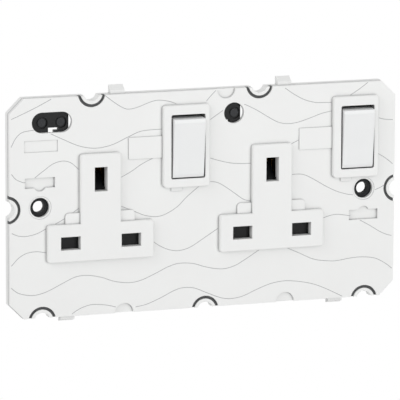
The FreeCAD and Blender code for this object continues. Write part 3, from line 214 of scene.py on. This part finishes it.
def workedMetal(name, look):
    material, tree = newMaterial(name)
    place = addNode(tree, "ShaderNodeTexCoord").outputs["Object"]
    along = addNode(tree, "ShaderNodeMapping", Vector=place, Scale=look["stretch"])
    marks = addNode(tree, "ShaderNodeTexNoise", Vector=along.outputs["Vector"],
                    Scale=1 / (look["markSize"] * mm), Detail=metalSkin["markDetail"],
                    Roughness=metalSkin["markRoughness"])
    tarnish = addNode(tree, "ShaderNodeTexNoise", Vector=place, Scale=1 / (look["tarnishSize"] * mm),
                      Detail=metalSkin["tarnishDetail"])
    colour = mixColours(tree, tarnish.outputs["Fac"], hexColour(look["colour"]), hexColour(look["tarnish"]))
    polish = addNode(tree, "ShaderNodeMapRange", Value=marks.outputs["Fac"],
                     From_Min=metalSkin["markLow"], From_Max=metalSkin["markHigh"],
                     To_Min=look["roughness"] - metalSkin["smoother"],
                     To_Max=look["roughness"] + metalSkin["rougher"])
    edge = addNode(tree, "ShaderNodeBevel", {"samples": metalSkin["edgeSamples"]},
                   Radius=look["edgeRadius"] * mm)
    relief = addNode(tree, "ShaderNodeBump", Strength=metalSkin["reliefStrength"],
                     Distance=look["markDepth"] * mm, Height=marks.outputs["Fac"],
                     Normal=edge.outputs["Normal"])
    shader = addNode(tree, "ShaderNodeBsdfPrincipled", Base_Color=colour, Metallic=1.0,
                     Roughness=polish.outputs["Result"], Normal=relief.outputs["Normal"])
    finishMaterial(tree, shader)
    return material


# Rolled brass strip: warm yellow with fine rolling lines along its length
stripBrass = workedMetal("rolledBrass", {
    "colour": "#d8b56a", "tarnish": "#b08d4a", "tarnishSize": 6.0, "roughness": 0.3,
    "stretch": (0.15, 1.0, 1.0), "markSize": 0.2, "markDepth": 0.006, "edgeRadius": 0.08,
})
# Extruded terminal brass: a little duller, drawn lines run up the block
terminalBrass = workedMetal("drawnBrass", {
    "colour": "#cdae68", "tarnish": "#a78850", "tarnishSize": 4.0, "roughness": 0.36,
    "stretch": (1.0, 1.0, 0.15), "markSize": 0.25, "markDepth": 0.008, "edgeRadius": 0.12,
})
# Screws: zinc-plated steel, cool and faintly yellow from its passivation
platedSteel = workedMetal("zincPlatedSteel", {
    "colour": "#c6c6bf", "tarnish": "#a9a795", "tarnishSize": 2.5, "roughness": 0.34,
    "stretch": (1.0, 0.3, 1.0), "markSize": 0.18, "markDepth": 0.008, "edgeRadius": 0.12,
})
# Springs: bright drawn music wire
springWire = workedMetal("drawnSpringWire", {
    "colour": "#bdbfc2", "tarnish": "#8f9194", "tarnishSize": 1.5, "roughness": 0.26,
    "stretch": (1.0, 1.0, 1.0), "markSize": 0.15, "markDepth": 0.004, "edgeRadius": 0.05,
})

finishes = [
    (ureaWhite, ["front_plate"]),
    (rockerWhite, ["left_rocker", "right_rocker"]),
    (ringNylonPaintedLight, ["cover_clip_rings"]),
    (carrierNylon, ["contact_carrier", "rear_cover"]),
    (shutterAcetal, ["left_shutter", "right_shutter"]),
    (insertAbs, ["twin_indicator_insert", "single_indicator_insert"]),
    (lensSmoked, ["twin_indicator_lamps", "single_indicator_lamp"]),
    (pinAcetal, ["left_plunger", "right_plunger"]),
    (stripBrass, ["line_bar", "neutral_bar", "earth_bar", "left_line_contact", "right_line_contact",
                  "left_moving_contact", "right_moving_contact"]),
    (terminalBrass, ["line_terminal", "neutral_terminal", "left_earth_terminal", "right_earth_terminal"]),
    (platedSteel, ["terminal_screws", "housing_screws"]),
    (springWire, ["left_plunger_spring", "right_plunger_spring", "left_shutter_spring",
                  "right_shutter_spring"]),
]
for finish, nodeNames in finishes:
    for nodeName in nodeNames:
        for materialSlot in nodes[nodeName].material_slots:
            materialSlot.material = finish
print("finishes set:", sum(len(nodeNames) for finish, nodeNames in finishes), "nodes")


# Wave lines in the face: X and Z of the points along each, in mm, read from the photograph

waves = {
    "faceFront": 4.3,    # the face, in front of the wall plane
    "lineRadius": 0.16,
    "lineSink": 0.11,    # how far a line's centre lies under the face
    "sides": 8,
    "step": 0.6,
    "paths": [
        # left edge, and round the left socket
        [(-70.6, 31.7), (-65, 34), (-60.5, 36), (-56.2, 38.1)],
        [(-70.7, 21.9), (-69, 25), (-66.5, 27), (-62.5, 27.5)],
        [(-56.3, 25.9), (-52, 23.8), (-46, 21.1), (-40, 20), (-34, 20.9), (-28, 23.4), (-23, 25.2),
         (-15.6, 25.5)],
        [(-70.6, 12.4), (-69, 10.5), (-66.5, 9.3), (-65.6, 9.2)],
        [(-62.2, 10.7), (-59, 13), (-55.5, 15.3), (-52, 16.1), (-49, 15.3), (-46.2, 12.8)],
        [(-31, 9), (-27, 11), (-23, 13.5), (-19, 15.3)],
        [(-70.6, -8.5), (-68, -9.6), (-65, -9.8), (-61.5, -9.1), (-58.2, -7.6)],
        [(-54.8, -6.1), (-51.5, -4.4), (-46.2, -1)],
        [(-31, -1), (-25, -3.6), (-22, -4.9), (-18, -5.6), (-14.5, -5), (-10, -2.6), (-6.5, 0.7),
         (-1.8, 4.4)],
        [(-70.8, -20.1), (-68, -17.3), (-65, -15.8), (-61.5, -15.5), (-58.2, -16.1)],
        [(-19, -14.4), (-16, -16.4), (-12.5, -17.9), (-9, -18.3), (-5, -17.3), (0, -14.4), (5.3, -11.2)],
        # under both sockets, edge to edge
        [(-70.9, -27.9), (-68, -30), (-63, -31), (-58, -30), (-52, -27.3), (-47.5, -25.4), (-43, -25.1),
         (-38, -26.1), (-33, -27.9), (-27.5, -28.7), (-23, -28), (-18, -26), (-13, -23.8), (-9, -22.9),
         (-4, -23.3), (0, -24.6), (4, -25.6), (8, -25.9), (12, -24.9), (16, -22.8), (21, -19.8)],
        [(31.2, -19.8), (36, -22), (41, -24.4), (45, -25.3), (50, -25.7), (55, -25.1), (60, -24.9),
         (65, -25.7), (69, -27.8), (71.5, -29.8)],
        [(-48.8, -38.6), (-46, -36.9), (-42.5, -35.8), (-40, -35.7), (-36, -36.2), (-32.6, -37.1)],
        [(-25.3, -37.6), (-21, -36.8), (-16, -34.9), (-11, -32.6), (-7.5, -31.8), (-3.5, -32.2), (1, -34.1),
         (5.2, -35.9), (8, -36.7), (11, -36.9), (15, -36.2), (20, -34.2), (25, -32.5), (30, -31.8),
         (35, -32.2), (41, -33.5), (46, -35.5), (52.5, -38.8)],
        # round the left switch, and over and beside the right socket
        [(-36.5, 38.4), (-33, 35.7), (-30, 33.8), (-28, 33.2), (-25, 33.6), (-20, 35.3), (-17, 35.8),
         (-13, 35.2), (-10.4, 34.2)],
        [(4.3, 38.2), (2.5, 36.5), (0.8, 34.6)],
        [(2.2, 27.9), (4.5, 29.4), (7, 31)],
        [(14.9, 32.7), (16, 32.3), (20, 30.2), (25, 27.1), (28, 25.6), (31, 25), (35, 25.3), (40, 26.7),
         (44, 28), (47.8, 28.7)],
        [(2.3, 14.2), (6, 13), (10, 12), (14, 11.6), (17.5, 11.5)],
        [(32.5, 17.6), (35.5, 18.9)],
        [(2.4, 5.8), (5, 5.3), (8, 3.6), (12, 0.7), (15, -1.4), (17.5, -1.9)],
        # right of the right socket, round its switch to the right edge
        [(32.8, 6.6), (36, 6.6), (38.5, 5.9), (42, 4), (46, 1.6), (50, -0.4), (54, -1.7), (56.4, -2.1)],
        [(64.7, -0.7), (66.6, 0), (68, 0.7)],
        [(30.2, 37.8), (33, 35.8), (37, 33.5), (41, 32.2), (44, 31.9), (47.7, 31.8)],
        [(54.9, 34.1), (58, 35.9), (61.5, 38.3)],
        [(65.5, 25.4), (68, 24.7), (71.2, 24.4)],
        [(65.5, 12.5), (68, 11), (70, 9.5), (71.3, 8.3)],
        [(45, -9.8), (47.5, -9.1), (50, -8.8), (53, -9.2), (55.2, -9.7)],
        [(59, -11.4), (63, -13.7), (66.5, -15.9), (69, -17.1), (71.2, -17.8)],
    ],
}


def waveLineTree():
    tree = bpy.data.node_groups.new("waveLines", "GeometryNodeTree")
    inputs = {"Geometry": "Geometry", "Line Radius": "Float", "Step": "Float", "Sides": "Int",
              "Finish": "Material"}
    for name, kind in inputs.items():
        tree.interface.new_socket(name, in_out="INPUT", socket_type="NodeSocket" + kind)
    tree.interface.new_socket("Geometry", in_out="OUTPUT", socket_type="NodeSocketGeometry")
    given = addNode(tree, "NodeGroupInput")
    smooth = addNode(tree, "GeometryNodeCurveSplineType", {"spline_type": "CATMULL_ROM"},
                     Curve=given.outputs["Geometry"])
    even = addNode(tree, "GeometryNodeResampleCurve", {"mode": "LENGTH"}, Curve=smooth.outputs["Curve"],
                   Length=given.outputs["Step"])
    section = addNode(tree, "GeometryNodeCurvePrimitiveCircle", Resolution=given.outputs["Sides"],
                      Radius=given.outputs["Line Radius"])
    bead = addNode(tree, "GeometryNodeCurveToMesh", Curve=even.outputs["Curve"],
                   Profile_Curve=section.outputs["Curve"], Fill_Caps=True)
    whole = addNode(tree, "GeometryNodeRealizeInstances", Geometry=bead.outputs["Mesh"])
    painted = addNode(tree, "GeometryNodeSetMaterial", Geometry=whole.outputs["Geometry"],
                      Material=given.outputs["Finish"])
    addNode(tree, "NodeGroupOutput", Geometry=painted.outputs["Geometry"])
    return tree


def setInput(modifier, name, value):
    for item in modifier.node_group.interface.items_tree:
        if item.item_type == "SOCKET" and item.in_out == "INPUT" and item.name == name:
            modifier[item.identifier] = value


def drawWavePaths():
    curve = bpy.data.curves.new("waveLinePaths", "CURVE")
    curve.dimensions = "3D"
    level = -(waves["faceFront"] - waves["lineSink"]) * mm
    for path in waves["paths"]:
        spline = curve.splines.new("POLY")
        spline.points.add(len(path) - 1)
        for point, (across, up) in zip(spline.points, path):
            point.co = (across * mm, level, up * mm, 1)
    draft = bpy.data.objects.new("waveLineDraft", curve)
    bpy.context.collection.objects.link(draft)
    return draft


def makeWaveLines():
    draft = drawWavePaths()
    modifier = draft.modifiers.new("waveLines", "NODES")
    modifier.node_group = waveLineTree()
    setInput(modifier, "Line Radius", waves["lineRadius"] * mm)
    setInput(modifier, "Step", waves["step"] * mm)
    setInput(modifier, "Sides", waves["sides"])
    # painted shadow: the beads take the pale grey that stands for the shadow in a shallow mould line
    setInput(modifier, "Finish", waveLineShadowGrey)
    bpy.context.view_layer.update()
    evaluated = draft.evaluated_get(bpy.context.evaluated_depsgraph_get())
    mesh = bpy.data.meshes.new_from_object(evaluated)
    bpy.data.objects.remove(draft)
    lines = bpy.data.objects.new("waveLines", mesh)
    bpy.context.collection.objects.link(lines)
    mesh.shade_smooth()
    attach(lines, "housing")
    print("wave lines:", len(waves["paths"]), "paths,", len(mesh.polygons), "faces")


makeWaveLines()


# Camera, fitted to the pin slots and fixing holes of the photograph: angles in degrees, lengths in mm

view = {
    "azimuth": -19.007, "elevation": 10.770, "roll": 0.231,
    "distance": 1482.2, "across": -0.018, "up": 1.461,  # across and up place the part's origin in the frame
    "focalPixels": 4192.7, "framePixels": 400, "sensor": 36.0,
    "nearest": 50.0, "farthest": 20000.0,
}


def makeCamera():
    azimuth, elevation, roll = (math.radians(view[key]) for key in ("azimuth", "elevation", "roll"))
    back = Vector((math.sin(azimuth) * math.cos(elevation), -math.cos(azimuth) * math.cos(elevation),
                   math.sin(elevation)))
    level = Vector((math.cos(azimuth), math.sin(azimuth), 0))
    upright = back.cross(level)
    right = level * math.cos(roll) + upright * math.sin(roll)
    up = upright * math.cos(roll) - level * math.sin(roll)
    place = (back * view["distance"] - right * view["across"] - up * view["up"]) * mm
    turn = Matrix((right, up, back)).transposed().to_4x4()
    lens = bpy.data.cameras.new("photoCamera")
    lens.sensor_width = view["sensor"]
    lens.lens = view["focalPixels"] * view["sensor"] / view["framePixels"]
    lens.clip_start = view["nearest"] * mm
    lens.clip_end = view["farthest"] * mm
    camera = bpy.data.objects.new("photoCamera", lens)
    camera.matrix_world = Matrix.Translation(place) @ turn
    bpy.context.collection.objects.link(camera)
    bpy.context.scene.camera = camera
    print("camera ready")


makeCamera()


# Pale studio: soft lamps in front, a floor below and a sky. Floor and sky show plain white to the camera, to
# gloss and through glass, and light the part at their own level. Lengths are in mm, lamp power in watts.

studio = {
    "white": "#ffffff", "ambient": 0.58,
    "floorColour": "#f4f4f4", "floorDrop": 110.0, "floorSize": 3000.0,
    "lamps": [
        {"name": "keyLamp", "place": (450, -1300, 130), "size": 420, "power": 4.4},
        {"name": "fillLamp", "place": (-1000, -500, 700), "size": 700, "power": 3.7},
    ],
}


def showWhite(tree, lit, white):
    # lit is what lights the part, white what the eye sees
    path = addNode(tree, "ShaderNodeLightPath")
    seen = addNode(tree, "ShaderNodeMath", {"operation": "MAXIMUM"}, n_0=path.outputs["Is Camera Ray"],
                   n_1=path.outputs["Is Transmission Ray"])
    mirrored = addNode(tree, "ShaderNodeMath", {"operation": "MAXIMUM"}, n_0=seen.outputs[0],
                       n_1=path.outputs["Is Glossy Ray"])
    return addNode(tree, "ShaderNodeMixShader", n_0=mirrored.outputs[0], n_1=lit.outputs[0],
                   n_2=white.outputs[0])


def makeSky():
    world = bpy.data.worlds.new("paleSky")
    world.use_nodes = True
    tree = world.node_tree
    tree.nodes.clear()
    white = hexColour(studio["white"])
    ambient = addNode(tree, "ShaderNodeBackground", Color=white, Strength=studio["ambient"])
    bright = addNode(tree, "ShaderNodeBackground", Color=white, Strength=1.0)
    addNode(tree, "ShaderNodeOutputWorld", Surface=showWhite(tree, ambient, bright).outputs[0])
    bpy.context.scene.world = world


def makeFloor():
    paper, tree = newMaterial("studioPaper")
    matte = addNode(tree, "ShaderNodeBsdfDiffuse", Color=hexColour(studio["floorColour"]))
    bright = addNode(tree, "ShaderNodeEmission", Color=hexColour(studio["white"]), Strength=1.0)
    finishMaterial(tree, showWhite(tree, matte, bright))
    half = studio["floorSize"] * mm / 2
    drop = -studio["floorDrop"] * mm
    corners = [(-half, -half, drop), (half, -half, drop), (half, half, drop), (-half, half, drop)]
    mesh = bpy.data.meshes.new("floor")
    mesh.from_pydata(corners, [], [(0, 1, 2, 3)])
    mesh.materials.append(paper)
    floor = bpy.data.objects.new("floor", mesh)
    bpy.context.collection.objects.link(floor)


def makeLamp(lamp):
    light = bpy.data.lights.new(lamp["name"], "AREA")
    light.size = lamp["size"] * mm
    light.energy = lamp["power"]
    bulb = bpy.data.objects.new(lamp["name"], light)
    bulb.location = Vector(lamp["place"]) * mm
    bulb.rotation_mode = "QUATERNION"
    bulb.rotation_quaternion = (-bulb.location).to_track_quat("-Z", "Y")  # faces the part's origin
    bpy.context.collection.objects.link(bulb)


makeSky()
makeFloor()
for lamp in studio["lamps"]:
    makeLamp(lamp)
bpy.context.scene.view_settings.view_transform = "Standard"
print("studio ready")
